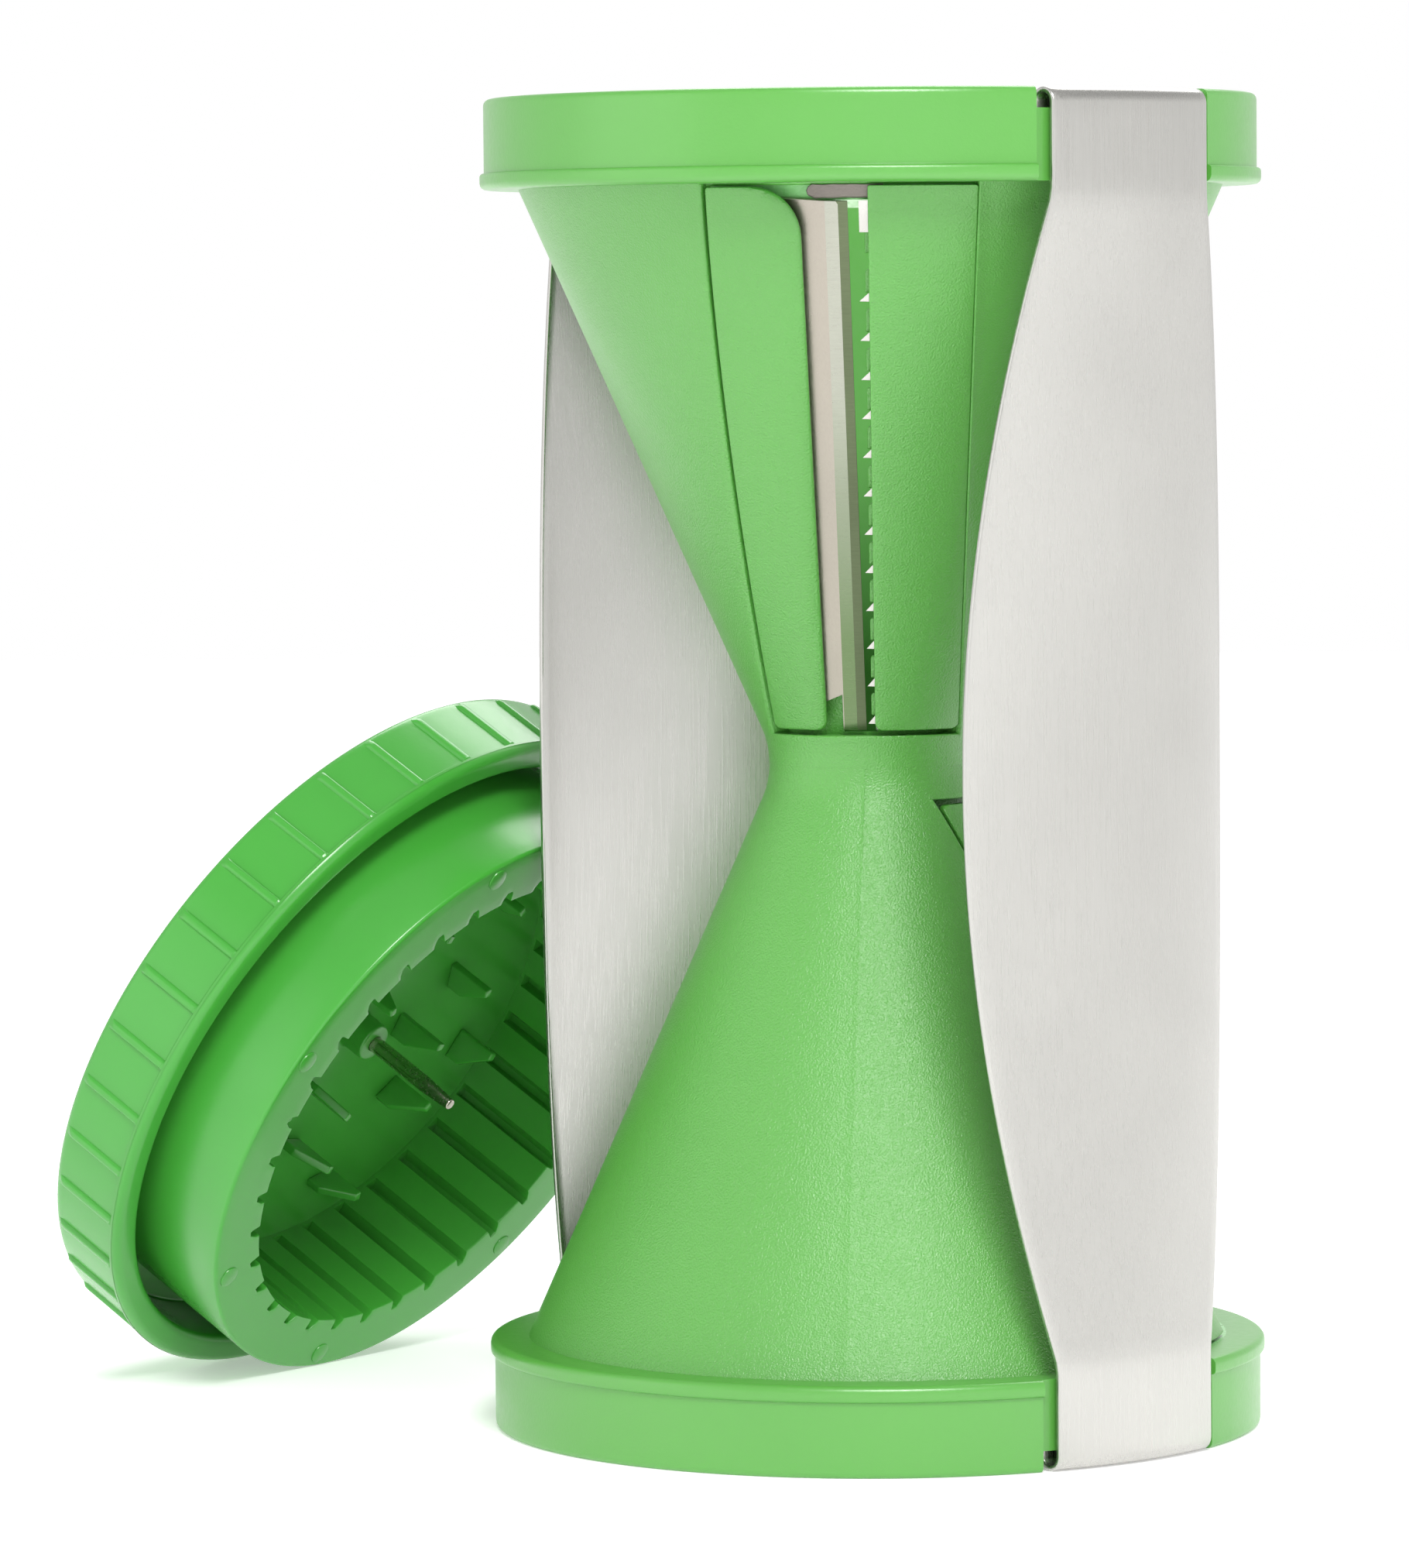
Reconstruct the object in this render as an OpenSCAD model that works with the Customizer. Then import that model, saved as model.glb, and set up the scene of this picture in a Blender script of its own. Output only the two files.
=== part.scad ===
// Hourglass spiral slicer: two funnels joined at the waist, each with a straight blade and a
// julienne comb in a slot, two steel side plates, and a loose food-holder cap leaning behind it.
// The axis of the funnels is +Z and the lower rim stands on z = 0.

/* [Funnels] */
// Height from the lower rim to the upper rim
total_h = 122.8; // [121:0.1:125]
// Outer radius of the waist
waist_r = 9.65; // [9.4:0.05:10.2]
// Half angle of each cone
cone_angle = 23.9; // [23.5:0.1:24.2]
// Wall thickness of the cones
wall = 2.6; // [2.5:0.1:2.8]
// Radius of the hole through the waist
core_r = 6.9; // [6.6:0.1:7.1]

/* [Rims] */
// Outer radius of the skirt round each mouth
skirt_r = 35.6; // [35.5:0.05:35.7]
// Outer radius of the lip behind the skirt
lip_r = 36; // [35.8:0.05:36.2]
// Height of the skirt
skirt_h = 6.8; // [6.6:0.1:7.2]
// Thickness of the lip
lip_t = 1.5; // [1.4:0.1:1.8]
// Inner radius of the mouth
mouth_r = 31.4; // [31.3:0.05:31.5]

/* [Slots] */
// Azimuth of the upper slot, measured from -Y towards +X
slot_az = -3; // [-5:0.5:0]
// Clearance round the panels in a slot
panel_gap = 0.3; // [0.2:0.05:0.4]
// Thickness of the panels over the blade and the comb
panel_t = 0.75; // [0.6:0.05:0.8]

/* [Blades] */
// Thickness of each straight blade
blade_t = 0.4; // [0.3:0.05:0.45]
// Tilt of each blade about its cutting edge
blade_tilt = 10; // [9:0.5:11]
// Tooth pitch of the coarse comb
coarse_pitch = 3.5; // [3.2:0.1:3.8]
// Tooth pitch of the fine comb
fine_pitch = 2; // [1.8:0.1:2.4]

/* [Side plates] */
// Azimuth of the centre of the right plate
plate_az = 41.3; // [41:0.1:42]
// Sheet thickness of each plate
plate_t = 0.5; // [0.4:0.05:0.5]
// Width of a plate at its two ends
plate_end_w = 18.7; // [18:0.1:19]
// Width of a plate at mid height
plate_mid_w = 31.2; // [30:0.1:32]
// Outer radius of a plate at its two ends
plate_end_r = 36.3; // [36.25:0.05:36.4]
// Outer radius of a plate at mid height
plate_mid_r = 33.85; // [33.5:0.05:34.2]

/* [Cap] */
// Outer radius of the cap's lip
cap_r = 36.35; // [36.2:0.05:36.4]
// Depth of the ribbed ring
ring_h = 9.2; // [9:0.1:9.4]
// Outer radius of the cap's socket
socket_r = 31.05; // [30.9:0.05:31.1]
// How far the socket stands out beyond the ring
socket_out = 8.2; // [8:0.05:8.3]
// Number of grip ribs, and of grooves inside the socket
cap_teeth = 36; // [36:1:36]
// Radius of the steel pin
pin_r = 0.8; // [0.7:0.05:0.9]

/* [Hidden] */
$fn = 96;
green = [0.40, 0.76, 0.33];
steel = [0.82, 0.81, 0.79];

// Cone geometry, upper half. layer_r is the radius of a surface that lies depth below the outside.
waist_z = total_h / 2;
blend_r = 8;
corner_r = waist_r - blend_r * (1 / cos(cone_angle) - 1);
blend_steps = 8;
lip_z = total_h - skirt_h - lip_t;
function cone_r(z) = corner_r + tan(cone_angle) * (z - waist_z);
function layer_r(z, depth) = cone_r(z) - depth / cos(cone_angle);
bore_end_z = waist_z + (core_r - layer_r(waist_z, wall)) / tan(cone_angle);

// Rim: an inner mouth wall and an outer skirt with a groove between them, open at the end.
mouth_floor_z = lip_z - 0.2;
mouth_wall = 1.5;
mouth_top_z = total_h - 0.5;
groove_out_r = 34.3;
groove_floor_z = total_h - 6.4;
edge_round = 0.6;
arc_steps = 5;

// Slot outline in the slot's own plane, as [offset to the right, height].
slot_bottom_z = waist_z + 3;
slot_top_z = lip_z;
slot_drop = slot_top_z - slot_bottom_z;
window_left_top = -13.45;
window_left_shift = 4.4;
window_left_power = 1.6;
window_right_top = 11.25;
window_right_bottom = 8.2;
left_steps = 6;
recess_d = 1.6;
prism_start = 4.2;
function left_edge(z) = window_left_top
    + window_left_shift * pow((slot_top_z - z) / slot_drop, window_left_power);
function right_edge(z) = window_right_bottom
    + (window_right_top - window_right_bottom) * (z - slot_bottom_z) / slot_drop;
function step_z(i) = slot_bottom_z + slot_drop * i / left_steps;

// Cutting throat through the floor of the recess
throat = [[-2.8, slot_bottom_z + 0.3], [1, slot_bottom_z + 0.3],
          [1.6, slot_top_z - 1.5], [-2.8, slot_top_z - 1.5]];

// Blade, in the plane that touches the cone along the cutting edge
edge_az = slot_az - 0.8;
edge_d = 1.45;
blade_z0 = slot_bottom_z + 0.5;
blade_z1 = slot_top_z - 1.6;
blade_len = (blade_z1 - blade_z0) / cos(cone_angle);
blade_w_top = 9;
blade_w_bottom = 4.7;
bevel_w = 1.7;
tongue_len = 3.6;
seat_gap = 0.05;
cover_right_top = -4.55;
cover_right_bottom = -3.75;
cover_corner = 4.5;
cover_foot_w = 3.4;

// Comb
comb_d0 = panel_t + 0.05;
comb_d1 = comb_d0 + 0.45;
comb_w = 4.6;
comb_first_z = blade_z0 + 0.6;
comb_last_z = slot_top_z - 7.5;
tab_z0 = blade_z1 - 2.8;
holder_left_top = 1.48;
holder_left_bottom = 0.72;
tip_left_top = 0.55;
tip_left_bottom = 0.05;
function along(a, b, z) = a + (b - a) * (z - slot_bottom_z) / slot_drop;
function holder_left(z) = along(holder_left_bottom, holder_left_top, z);
function tip_left(z) = along(tip_left_bottom, tip_left_top, z);

// Short pins that locate the blade and the comb on the floor of the recess
peg_r = 0.8;
peg_d1 = 2.3;
blade_spots = [[-6.3, slot_top_z - 10], [-6.3, slot_top_z - 27]];
comb_spots = [[3.3, slot_top_z - 10], [3, slot_top_z - 40]];

// End clip across the top of the slot
clip_h = 1.3;
clip_z = slot_top_z - 0.1 - clip_h / 2;
clip_left = -4.2;
clip_right = 3;

// Side plates
plate_half_h = 52;
hook_r = 1.35;
hook_z = total_h - hook_r - 0.05;
hook_leg_z = total_h - 4;
notch_side = 1;
notch_r = 35.2;
notch_top_z = total_h - 1.9;
plate_steps = 16;
hook_steps = 8;
plate_bottom_z = waist_z - plate_half_h;
function bow(z) = pow((z - waist_z) / plate_half_h, 2);
function plate_r(z) = plate_mid_r + (plate_end_r - plate_mid_r) * bow(z);
function plate_half_w(z) = (plate_mid_w - (plate_mid_w - plate_end_w) * bow(z)) / 2;
function plate_z(i) = plate_bottom_z + 2 * plate_half_h * i / plate_steps;

// Cap: its own axis is +Z with the lip at zero, and then it is laid against the left plate.
cap_pos = [-47.1, 33, 30.73];
cap_tilt = 31.17;
cap_heading = 33.06;
ring_r = 36;
ring_in_r = 33.35;
back_t = 2.6;
back_dish = 0.6;
band_top = -1.1;
rib_w = 0.9;
rib_turn = 6.5;
groove_turn = 8;
tooth_r = 25.4;
root_r = 26.6;
tooth_groove_w = 1.4;
groove_step = 0.4;
socket_floor_t = 1.3;
socket_floor = back_t - ring_h + socket_floor_t;
boss_r = 2;
boss_h = 2.8;
pin_tip_r = 0.55;
pin_taper = 3.6;
pin_in = 1.2;
// Rings of spikes: [radius, count, first angle, height, width]
spike_rings = [[7.2, 3, 88, 5.6, 2.6], [13.5, 6, 52.5, 5, 3], [19.5, 6, 19, 4.5, 3.2]];
spike_t = 0.9;

// Quarter-round from angle a0 to a1 about a centre
function arc(c, r, a0, a1, n) =
    [for (i = [0 : n]) let (a = a0 + (a1 - a0) * i / n) [c[0] + r * cos(a), c[1] + r * sin(a)]];

// Turns the upper half into the lower half, about the level line through the plates' centres
module turned_over() {
    translate([0, 0, waist_z])
        rotate(180, [sin(plate_az), -cos(plate_az), 0])
            translate([0, 0, -waist_z]) children();
}

// Extrudes a slot outline outwards, from a little in front of the axis
module slot_prism(outline) {
    rotate([0, 0, slot_az]) translate([0, -prism_start, 0]) rotate([90, 0, 0])
        linear_extrude(height = 40) polygon(outline);
}

// Conical layer between two depths, and the whole cone below a depth
module cone_layer(d0, d1) {
    z0 = slot_bottom_z - 4;
    z1 = slot_top_z + 1;
    rotate_extrude() polygon([[layer_r(z0, d0), z0], [layer_r(z0, d1), z0],
                              [layer_r(z1, d1), z1], [layer_r(z1, d0), z1]]);
}
module cone_core(depth) {
    z0 = slot_bottom_z - 4;
    z1 = slot_top_z + 1;
    rotate_extrude() polygon([[0, z0], [layer_r(z0, depth), z0], [layer_r(z1, depth), z1], [0, z1]]);
}

// Whole width of the recess, less a gap on every side
function window(gap) = concat(
    [for (i = [0 : left_steps])
        [left_edge(step_z(i)) + gap, min(max(step_z(i), slot_bottom_z + gap), slot_top_z - gap)]],
    [[right_edge(slot_top_z) - gap, slot_top_z - gap],
     [right_edge(slot_bottom_z) - gap, slot_bottom_z + gap]]);

// Frame on the cone's generatrix at the cutting edge: X tangential, Y up the cone, Z outwards
module on_cutting_edge() {
    rotate([0, 0, edge_az]) translate([0, -layer_r(blade_z0, edge_d), blade_z0])
        rotate([90 + cone_angle, 0, 0]) rotate([0, -blade_tilt, 0]) children();
}

// Straight pin along the cone's normal through [offset, height]
module cone_pin(at, d0, d1, r) {
    az = slot_az + asin(at[0] / cone_r(at[1]));
    rotate([0, 0, az]) translate([0, -layer_r(at[1], d1), at[1]])
        rotate([90 + cone_angle, 0, 0]) cylinder(r = r, h = d1 - d0, $fn = 24);
}

module funnel_profile() {
    polygon(concat(
        [[core_r, waist_z], [core_r, bore_end_z],
         [layer_r(mouth_floor_z, wall), mouth_floor_z], [mouth_r, mouth_floor_z]],
        [[mouth_r, mouth_top_z], [mouth_r + mouth_wall, mouth_top_z],
         [mouth_r + mouth_wall, groove_floor_z], [groove_out_r, groove_floor_z],
         [groove_out_r, total_h]],
        arc([skirt_r - edge_round, total_h - edge_round], edge_round, 90, 0, arc_steps),
        [[skirt_r, lip_z + lip_t]],
        arc([lip_r - 0.3, lip_z + lip_t - 0.3], 0.3, 90, 0, 3),
        arc([lip_r - edge_round, lip_z + edge_round], edge_round, 0, -90, arc_steps),
        [[cone_r(lip_z), lip_z]],
        arc([waist_r + blend_r, waist_z], blend_r, 180 - cone_angle, 180, blend_steps)));
}

// Room that a plate's end takes out of the rim
module plate_notch() {
    half_w = plate_end_w / 2 + notch_side;
    intersection() {
        rotate([90, 0, 0]) linear_extrude(height = 45) translate([-half_w, lip_z - 1])
            square([2 * half_w, skirt_h + lip_t + 2]);
        union() {
            rotate_extrude() translate([notch_r, lip_z - 1]) square([5, skirt_h + lip_t + 2]);
            rotate_extrude() translate([groove_out_r - 0.5, notch_top_z]) square([5, 3]);
        }
    }
}

module blade_blank(gap) {
    outline = [[gap, -gap], [gap, blade_len + gap], [-blade_w_top - gap, blade_len + gap],
               [-blade_w_bottom - gap, -gap]];
    translate([0, 0, -gap]) linear_extrude(height = blade_t + 2 * gap) polygon(outline);
}

module funnel() {
    color(green) difference() {
        rotate_extrude() funnel_profile();
        difference() {
            slot_prism(window(0));
            cone_core(recess_d);
        }
        on_cutting_edge() blade_blank(seat_gap);
        slot_prism(throat);
        for (side = [0, 180]) rotate([0, 0, plate_az + side]) plate_notch();
        for (at = blade_spots) cone_pin(at, 0, peg_d1, peg_r);
        for (at = comb_spots) cone_pin(at, 0, peg_d1, peg_r);
    }
}

module blade() {
    color(steel) difference() {
        on_cutting_edge() difference() {
            blade_blank(0);
            // Ground bevel along the cutting edge
            rotate([0, atan2(blade_t - 0.05, bevel_w), 0]) translate([-bevel_w * 2, -1, 0.05])
                cube([bevel_w * 4, blade_len + 2, 3]);
            // Notch that leaves a narrow tongue at the lower end
            linear_extrude(height = 3, center = true)
                polygon([[-2.1, -1], [-2.1, tongue_len], [-3.8, tongue_len - 0.9],
                         [-blade_w_top, tongue_len - 0.9], [-blade_w_top, -1]]);
        }
        for (at = blade_spots) cone_pin(at, 0, peg_d1, peg_r);
    }
}

module blade_cover() {
    outline = concat(
        [for (i = [0 : left_steps]) [left_edge(step_z(i)) + panel_gap,
                                     min(max(step_z(i), slot_bottom_z + 0.5),
                                         slot_top_z - panel_gap)]],
        arc([cover_right_top - cover_corner, slot_top_z - panel_gap - cover_corner],
            cover_corner, 90, 0, 8),
        [[cover_right_bottom, slot_bottom_z + 0.5]]);
    foot = concat(
        [for (i = [0 : left_steps]) [left_edge(step_z(i)) + panel_gap,
                                     min(max(step_z(i), slot_bottom_z + 0.5),
                                         slot_top_z - panel_gap)]],
        [for (i = [left_steps : -1 : 0]) [left_edge(step_z(i)) + cover_foot_w,
                                          min(max(step_z(i), slot_bottom_z + 0.5),
                                              slot_top_z - panel_gap)]]);
    color(green) {
        intersection() {
            slot_prism(outline);
            cone_layer(0, panel_t);
        }
        difference() {
            intersection() {
                slot_prism(foot);
                cone_layer(panel_t, recess_d - 0.05);
            }
            on_cutting_edge() blade_blank(seat_gap + 0.1);
        }
    }
}

module comb(pitch) {
    teeth = floor((comb_last_z - comb_first_z) / pitch);
    tooth_h = pitch * 0.24;
    color(steel) difference() {
        intersection() {
            union() {
                slot_prism([[holder_left(blade_z0) + 0.1, blade_z0],
                            [holder_left(blade_z1) + 0.1, blade_z1],
                            [holder_left(blade_z1) + comb_w, blade_z1],
                            [holder_left(blade_z0) + comb_w, blade_z0]]);
                for (i = [0 : teeth]) let (z = comb_first_z + i * pitch)
                    slot_prism([[tip_left(z), z], [holder_left(z) + 0.2, z - 0.02],
                                [holder_left(z) + 0.2, z + tooth_h]]);
                slot_prism([[holder_left(blade_z1) - 0.85, tab_z0], [holder_left(tab_z0) + 0.2, tab_z0],
                            [holder_left(blade_z1) + 0.2, blade_z1],
                            [holder_left(blade_z1) - 0.85, blade_z1]]);
            }
            cone_layer(comb_d0, comb_d1);
        }
        for (at = comb_spots) cone_pin(at, 0, peg_d1, peg_r);
    }
}

module comb_holder() {
    z0 = slot_bottom_z + 0.5;
    z1 = slot_top_z - panel_gap;
    color(green) {
        intersection() {
            slot_prism([[holder_left(z0), z0], [holder_left(z1), z1],
                        [right_edge(z1) - panel_gap / 2, z1], [right_edge(z0) - panel_gap / 2, z0]]);
            cone_layer(0, panel_t);
        }
        intersection() {
            slot_prism([[holder_left(z0) + comb_w + 0.2, z0], [holder_left(z1) + comb_w + 0.2, z1],
                        [right_edge(z1) - panel_gap / 2, z1], [right_edge(z0) - panel_gap / 2, z0]]);
            cone_layer(panel_t, recess_d - 0.05);
        }
    }
}

module pins(spots, d0) {
    color(steel) for (at = spots) cone_pin(at, d0, peg_d1, peg_r);
}

module end_clip() {
    r = clip_h / 2;
    color(steel) intersection() {
        slot_prism(concat(arc([clip_left + r, clip_z], r, 90, 270, arc_steps),
                          [[clip_right, clip_z - r], [clip_right, clip_z + r]]));
        cone_layer(comb_d0, recess_d - 0.05);
    }
}

// Cross-section of a plate's upper half and hook, turned about the funnels' axis
module plate_profile() {
    mid = plate_steps / 2;
    face = [for (i = [mid : plate_steps]) [plate_r(plate_z(i)), plate_z(i)]];
    back = [for (i = [plate_steps : -1 : mid]) [plate_r(plate_z(i)) - plate_t, plate_z(i)]];
    c = [plate_end_r - hook_r, hook_z];
    polygon(concat(face, arc(c, hook_r, 0, 180, 2 * hook_steps),
                   [[c[0] - hook_r, hook_leg_z], [c[0] - hook_r + plate_t, hook_leg_z]],
                   arc(c, hook_r - plate_t, 180, 0, 2 * hook_steps), back));
}

module side_plate() {
    outline = concat(
        [[-plate_end_w / 2, -1]],
        [for (i = [0 : plate_steps]) [-plate_half_w(plate_z(i)), plate_z(i)]],
        [[-plate_end_w / 2, total_h + 1], [plate_end_w / 2, total_h + 1]],
        [for (i = [plate_steps : -1 : 0]) [plate_half_w(plate_z(i)), plate_z(i)]],
        [[plate_end_w / 2, -1]]);
    color(steel) rotate([0, 0, plate_az]) intersection() {
        rotate([90, 0, 0]) linear_extrude(height = 45) polygon(outline);
        union() {
            rotate_extrude() plate_profile();
            translate([0, 0, total_h]) mirror([0, 0, 1]) rotate_extrude() plate_profile();
        }
    }
}

module at_cap() {
    translate(cap_pos) rotate([0, 90 + cap_tilt, -cap_heading]) children();
}

module cap_shell_profile() {
    nose_r = 1;
    polygon(concat(
        [[0, -ring_h + back_dish], [30, -ring_h + back_dish], [30 + back_dish, -ring_h]],
        arc([ring_r - 0.8, -ring_h + 0.8], 0.8, -90, 0, arc_steps),
        [[ring_r, band_top - 0.4]],
        arc([cap_r - nose_r, -nose_r], nose_r, 0, 90, arc_steps),
        arc([ring_in_r + nose_r, -nose_r], nose_r, 90, 180, arc_steps),
        [[ring_in_r, back_t - ring_h], [pin_r, back_t - ring_h],
         [pin_r, -ring_h + pin_in], [0, -ring_h + pin_in]]));
}

module cap_shell() {
    color(green) at_cap() {
        rotate_extrude() cap_shell_profile();
        for (i = [0 : cap_teeth - 1]) rotate([0, 0, rib_turn + i * 360 / cap_teeth])
            translate([ring_r - 1, -rib_w / 2, -ring_h + 0.9])
                cube([cap_r - ring_r + 0.95, rib_w, ring_h - 0.9 + band_top]);
    }
}

module cap_socket_profile() {
    nose_r = 0.6;
    polygon(concat(
        [[tooth_r, back_t - ring_h], [socket_r, back_t - ring_h]],
        arc([socket_r - nose_r, socket_out - nose_r], nose_r, 0, 90, arc_steps),
        [[tooth_r, socket_out]]));
}

// Floor of the socket, with the boss that holds the pin
module cap_disc() {
    color(green) at_cap() rotate_extrude()
        polygon([[pin_r, back_t - ring_h], [tooth_r, back_t - ring_h],
                 [tooth_r, socket_floor], [boss_r, socket_floor],
                 [boss_r, socket_floor + boss_h], [pin_r, socket_floor + boss_h]]);
}

module spike(height, width) {
    rotate([90, 0, 0]) linear_extrude(height = spike_t, center = true)
        polygon([[-width / 2, 0], [width / 2, 0], [width / 2, height],
                 [width / 2 - 0.8, height], [-width / 2, height * 0.35]]);
}

module cap_socket() {
    color(green) at_cap() difference() {
        rotate_extrude() cap_socket_profile();
        for (i = [0 : cap_teeth - 1]) rotate([0, 0, groove_turn + i * 360 / cap_teeth])
            translate([tooth_r - 1, -tooth_groove_w / 2, socket_floor + groove_step])
                cube([root_r - tooth_r + 1, tooth_groove_w, socket_out - socket_floor]);
    }
}

module cap_spikes() {
    color(green) at_cap()
        for (ring = spike_rings, i = [0 : ring[1] - 1])
            rotate([0, 0, ring[2] + i * 360 / ring[1]]) translate([ring[0], 0, socket_floor])
                rotate([0, 0, 90]) spike(ring[3], ring[4]);
}

module cap_pin() {
    color("silver") at_cap() {
        shank_top = socket_out - pin_taper;
        translate([0, 0, -ring_h + pin_in]) cylinder(r = pin_r, h = shank_top + ring_h - pin_in);
        translate([0, 0, shank_top]) cylinder(r1 = pin_r, r2 = pin_tip_r, h = pin_taper);
    }
}

funnel();  // upper_funnel
turned_over() funnel();  // lower_funnel
blade();  // upper_blade
turned_over() blade();  // lower_blade
blade_cover();  // upper_blade_cover
turned_over() blade_cover();  // lower_blade_cover
pins(blade_spots, panel_t + 0.1);  // upper_blade_pins
turned_over() pins(blade_spots, panel_t + 0.1);  // lower_blade_pins
comb(coarse_pitch);  // upper_comb
turned_over() comb(fine_pitch);  // lower_comb
comb_holder();  // upper_comb_holder
turned_over() comb_holder();  // lower_comb_holder
pins(comb_spots, panel_t + 0.05);  // upper_comb_pins
turned_over() pins(comb_spots, panel_t + 0.05);  // lower_comb_pins
end_clip();  // upper_end_clip
turned_over() end_clip();  // lower_end_clip
side_plate();  // right_side_plate
rotate([0, 0, 180]) side_plate();  // left_side_plate
cap_shell();
cap_socket();
cap_disc();
cap_spikes();
cap_pin();
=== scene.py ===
"""Looks of the hourglass spiral slicer and its loose cap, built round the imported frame.

Shapes are worked out in millimetres in the row frame and become metres in make_piece(). The upper
funnel and its parts are built once, and turned_over() lays the same shapes into the lower half.
"""

import math

import bmesh
import bpy
from mathutils import Matrix, Vector
from mathutils.geometry import delaunay_2d_cdt


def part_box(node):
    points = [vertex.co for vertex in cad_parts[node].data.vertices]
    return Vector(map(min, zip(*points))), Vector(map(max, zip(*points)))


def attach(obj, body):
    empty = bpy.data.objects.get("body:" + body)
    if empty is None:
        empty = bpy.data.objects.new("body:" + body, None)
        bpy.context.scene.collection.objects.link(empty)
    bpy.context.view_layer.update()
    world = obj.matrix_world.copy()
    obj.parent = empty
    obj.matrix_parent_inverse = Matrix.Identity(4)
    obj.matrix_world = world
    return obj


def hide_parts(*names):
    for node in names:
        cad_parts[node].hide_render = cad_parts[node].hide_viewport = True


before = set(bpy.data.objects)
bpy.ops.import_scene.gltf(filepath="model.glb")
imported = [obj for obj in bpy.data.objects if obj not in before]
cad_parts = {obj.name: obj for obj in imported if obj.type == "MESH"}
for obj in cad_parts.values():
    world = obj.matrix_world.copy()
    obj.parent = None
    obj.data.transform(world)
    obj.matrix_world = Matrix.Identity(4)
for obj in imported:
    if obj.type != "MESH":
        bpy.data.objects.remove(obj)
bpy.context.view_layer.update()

MM = 0.001
WELD = 3e-7

# ---------------------------------------------------------------- sizes shared with the CAD, mm
TOTAL_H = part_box("upper_funnel")[1].z / MM
LIP_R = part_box("upper_funnel")[1].x / MM
WAIST_Z = TOTAL_H / 2
WAIST_R = 9.65
BLEND_R = 8.0
CONE_ANGLE = math.radians(23.9)
WALL = 2.6
CORE_R = 6.9
SKIRT_R = 35.6
SKIRT_H = 6.8
LIP_T = 1.5
LIP_Z = TOTAL_H - SKIRT_H - LIP_T
MOUTH_R = 31.4
MOUTH_WALL = 1.5
MOUTH_FLOOR_Z = LIP_Z - 0.2
GROOVE_R = 34.3
GROOVE_FLOOR_Z = TOTAL_H - 6.4
CORNER_R = WAIST_R - BLEND_R * (1 / math.cos(CONE_ANGLE) - 1)

SLOT_AZ = -3.0
SLOT_BOTTOM = WAIST_Z + 3
SLOT_TOP = LIP_Z
SLOT_DROP = SLOT_TOP - SLOT_BOTTOM
RECESS_D = 1.6
PANEL_T = 0.75
PANEL_GAP = 0.3
# Distances to the right of the slot's centre line, at its bottom and at its top
WINDOW_LEFT_TOP, WINDOW_LEFT_SHIFT, WINDOW_LEFT_POWER = -13.45, 4.4, 1.6
WINDOW_RIGHT_BOTTOM, WINDOW_RIGHT_TOP = 8.2, 11.25
HOLDER_LEFT_BOTTOM, HOLDER_LEFT_TOP = 0.72, 1.48
TIP_LEFT_BOTTOM, TIP_LEFT_TOP = 0.05, 0.55
THROAT_LEFT = -2.8
THROAT_BOTTOM = SLOT_BOTTOM + 0.3
THROAT_TOP = SLOT_TOP - 1.5

EDGE_AZ = SLOT_AZ - 0.8
EDGE_D = 1.45
BLADE_T = 0.4
BLADE_TILT = math.radians(10)
BLADE_Z0 = SLOT_BOTTOM + 0.5
BLADE_Z1 = SLOT_TOP - 1.6
BLADE_LEN = (BLADE_Z1 - BLADE_Z0) / math.cos(CONE_ANGLE)
BLADE_W_TOP = 9.0
BLADE_W_BOTTOM = 4.7
GRIND_W = 2.0
EDGE_W = 0.82

COMB_D = PANEL_T + 0.05
COMB_T = 0.45
COMB_W = 4.6
COMB_FIRST_Z = BLADE_Z0 + 0.6
COMB_LAST_Z = SLOT_TOP - 7.5
COARSE_PITCH = 3.5
FINE_PITCH = 2.0

PLATE_AZ = 41.3
PLATE_T = 0.5
PLATE_MID_R = 33.85
PLATE_END_R = 36.3
PLATE_MID_W = 31.2
PLATE_END_W = 18.7
PLATE_HALF_H = 52.0
HOOK_R = 1.35
HOOK_Z = TOTAL_H - HOOK_R - 0.05
HOOK_LEG_Z = TOTAL_H - 4
NOTCH_HALF_W = PLATE_END_W / 2 + 1
NOTCH_R = 35.2
NOTCH_TOP_Z = TOTAL_H - 1.9

CAP_POS = Vector((-47.1, 33, 30.73))
CAP_TILT = math.radians(90 + 31.17)
CAP_HEADING = math.radians(-33.06)
CAP_R = 36.35
RING_R = 36.0
RING_IN_R = 33.35
RING_H = 9.2
CAP_BACK_T = 2.6
BAND_TOP = -1.1
SOCKET_R = 31.05
SOCKET_OUT = 8.2
TEETH = 36
TOOTH_R = 25.4
ROOT_R = 26.6
SOCKET_FLOOR = CAP_BACK_T - RING_H + 1.3
SPIKE_RINGS = [(7.2, 3, 88, 5.6, 2.6), (13.5, 6, 52.5, 5, 3), (19.5, 6, 19, 4.5, 3.2)]
SPIKE_T = 0.9
RIB_TURN = 6.5
NOTCH_TURN = 8
RIB_PROUD = 0.34
RIB_END = 0.35
NOTCH_FADE_R = 28.5
PIN_R, PIN_TIP_R = 0.8, 0.55
PIN_FOOT = 1.2
PIN_TAPER = 3.6
BOSS_R, BOSS_H = 2.0, 2.8
MARK_R, MARK_PROUD, MARK_RING_R = 1.1, 0.12, 29.4


def cone_r(z):
    return CORNER_R + math.tan(CONE_ANGLE) * (z - WAIST_Z)


def layer_r(z, depth):
    return cone_r(z) - depth / math.cos(CONE_ANGLE)


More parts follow.
